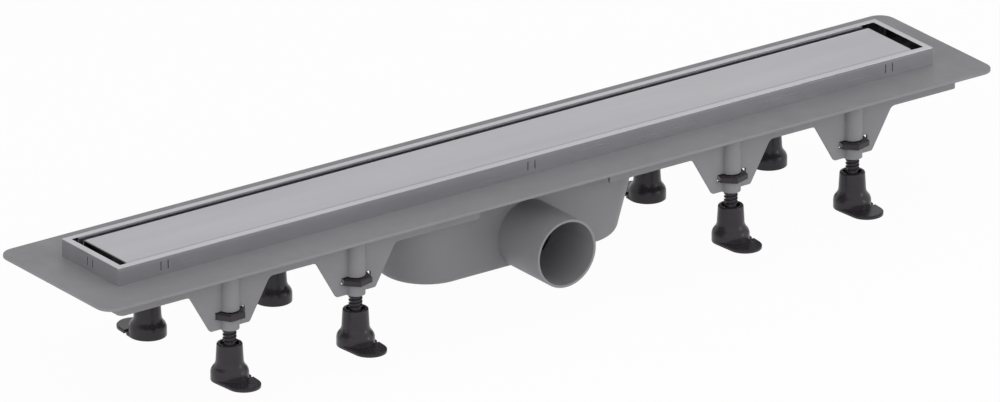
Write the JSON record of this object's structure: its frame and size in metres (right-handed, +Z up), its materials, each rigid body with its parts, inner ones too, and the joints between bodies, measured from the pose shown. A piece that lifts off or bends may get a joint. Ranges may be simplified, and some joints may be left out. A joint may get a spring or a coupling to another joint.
{
  "type": "linear shower drain",
  "caption": "Linear shower drain: flanged plastic channel on height-adjustable screw feet, steel frame with a cover plate over slots, odour trap and a round side outlet.",
  "frame": {"origin": "on the floor, below the middle of the channel", "axes": "+X along the channel, +Z up; the outlet spigot points towards -Y"},
  "size_m": [0.7648, 0.1562, 0.0963],
  "materials": {
    "channel": "moulded, satin",
    "polished_steel": "polished",
    "satin_steel": "satin",
    "support": "moulded",
    "trap": "moulded",
    "seal": "soft",
    "leg_plastic": "moulded, satin"
  },
  "bodies": {
    "drain": {"channel_body": "channel", "sump": "channel", "steel_frame": "polished_steel", "cover_plate": "satin_steel", "cover_support_1": "support", "cover_support_2": "support", "cover_support_3": "support", "cover_support_4": "support", "trap_plate": "trap", "trap_seal": "seal", "trap_cup": "trap", "hair_strainer": "trap"},
    "leg_front_1": {"leg_screw_front_1": "leg_plastic", "foot_front_1": "leg_plastic"},
    "nut_front_1": {"leg_nut_front_1": "leg_plastic"},
    "leg_front_2": {"leg_screw_front_2": "leg_plastic", "foot_front_2": "leg_plastic"},
    "nut_front_2": {"leg_nut_front_2": "leg_plastic"},
    "leg_front_3": {"leg_screw_front_3": "leg_plastic", "foot_front_3": "leg_plastic"},
    "nut_front_3": {"leg_nut_front_3": "leg_plastic"},
    "leg_front_4": {"leg_screw_front_4": "leg_plastic", "foot_front_4": "leg_plastic"},
    "nut_front_4": {"leg_nut_front_4": "leg_plastic"},
    "leg_rear_1": {"leg_screw_rear_1": "leg_plastic", "foot_rear_1": "leg_plastic"},
    "nut_rear_1": {"leg_nut_rear_1": "leg_plastic"},
    "leg_rear_2": {"leg_screw_rear_2": "leg_plastic", "foot_rear_2": "leg_plastic"},
    "nut_rear_2": {"leg_nut_rear_2": "leg_plastic"},
    "leg_rear_3": {"leg_screw_rear_3": "leg_plastic", "foot_rear_3": "leg_plastic"},
    "nut_rear_3": {"leg_nut_rear_3": "leg_plastic"},
    "leg_rear_4": {"leg_screw_rear_4": "leg_plastic", "foot_rear_4": "leg_plastic"},
    "nut_rear_4": {"leg_nut_rear_4": "leg_plastic"}
  },
  "joints": [
    {"name": "nut_turn_front_1", "type": "hinge", "parent": "drain", "child": "nut_front_1", "pos_m": [-0.268, -0.0493, 0.0493], "axis": [0, 0, 1], "range_deg": [-1386, 1940]},
    {"name": "leg_height_front_1", "type": "slide", "parent": "drain", "child": "leg_front_1", "axis": [0, 0, 1], "range_m": [-0.014, 0.01]},
    {"name": "nut_turn_front_2", "type": "hinge", "parent": "drain", "child": "nut_front_2", "pos_m": [-0.1615, -0.0493, 0.0493], "axis": [0, 0, 1], "range_deg": [-1386, 1940]},
    {"name": "leg_height_front_2", "type": "slide", "parent": "drain", "child": "leg_front_2", "axis": [0, 0, 1], "range_m": [-0.014, 0.01]},
    {"name": "nut_turn_front_3", "type": "hinge", "parent": "drain", "child": "nut_front_3", "pos_m": [0.1615, -0.0493, 0.0493], "axis": [0, 0, 1], "range_deg": [-1386, 1940]},
    {"name": "leg_height_front_3", "type": "slide", "parent": "drain", "child": "leg_front_3", "axis": [0, 0, 1], "range_m": [-0.014, 0.01]},
    {"name": "nut_turn_front_4", "type": "hinge", "parent": "drain", "child": "nut_front_4", "pos_m": [0.268, -0.0493, 0.0493], "axis": [0, 0, 1], "range_deg": [-1386, 1940]},
    {"name": "leg_height_front_4", "type": "slide", "parent": "drain", "child": "leg_front_4", "axis": [0, 0, 1], "range_m": [-0.014, 0.01]},
    {"name": "nut_turn_rear_1", "type": "hinge", "parent": "drain", "child": "nut_rear_1", "pos_m": [-0.268, 0.0493, 0.0493], "axis": [0, 0, 1], "range_deg": [-1386, 1940]},
    {"name": "leg_height_rear_1", "type": "slide", "parent": "drain", "child": "leg_rear_1", "axis": [0, 0, 1], "range_m": [-0.014, 0.01]},
    {"name": "nut_turn_rear_2", "type": "hinge", "parent": "drain", "child": "nut_rear_2", "pos_m": [-0.1615, 0.0493, 0.0493], "axis": [0, 0, 1], "range_deg": [-1386, 1940]},
    {"name": "leg_height_rear_2", "type": "slide", "parent": "drain", "child": "leg_rear_2", "axis": [0, 0, 1], "range_m": [-0.014, 0.01]},
    {"name": "nut_turn_rear_3", "type": "hinge", "parent": "drain", "child": "nut_rear_3", "pos_m": [0.1615, 0.0493, 0.0493], "axis": [0, 0, 1], "range_deg": [-1386, 1940]},
    {"name": "leg_height_rear_3", "type": "slide", "parent": "drain", "child": "leg_rear_3", "axis": [0, 0, 1], "range_m": [-0.014, 0.01]},
    {"name": "nut_turn_rear_4", "type": "hinge", "parent": "drain", "child": "nut_rear_4", "pos_m": [0.268, 0.0493, 0.0493], "axis": [0, 0, 1], "range_deg": [-1386, 1940]},
    {"name": "leg_height_rear_4", "type": "slide", "parent": "drain", "child": "leg_rear_4", "axis": [0, 0, 1], "range_m": [-0.014, 0.01]}
  ],
  "couplings": [
    {"joint": "nut_turn_front_1", "follows": "leg_height_front_1", "rad_per_m": -2416.6},
    {"joint": "nut_turn_front_2", "follows": "leg_height_front_2", "rad_per_m": -2416.6},
    {"joint": "nut_turn_front_3", "follows": "leg_height_front_3", "rad_per_m": -2416.6},
    {"joint": "nut_turn_front_4", "follows": "leg_height_front_4", "rad_per_m": -2416.6},
    {"joint": "nut_turn_rear_1", "follows": "leg_height_rear_1", "rad_per_m": -2416.6},
    {"joint": "nut_turn_rear_2", "follows": "leg_height_rear_2", "rad_per_m": -2416.6},
    {"joint": "nut_turn_rear_3", "follows": "leg_height_rear_3", "rad_per_m": -2416.6},
    {"joint": "nut_turn_rear_4", "follows": "leg_height_rear_4", "rad_per_m": -2416.6}
  ]
}
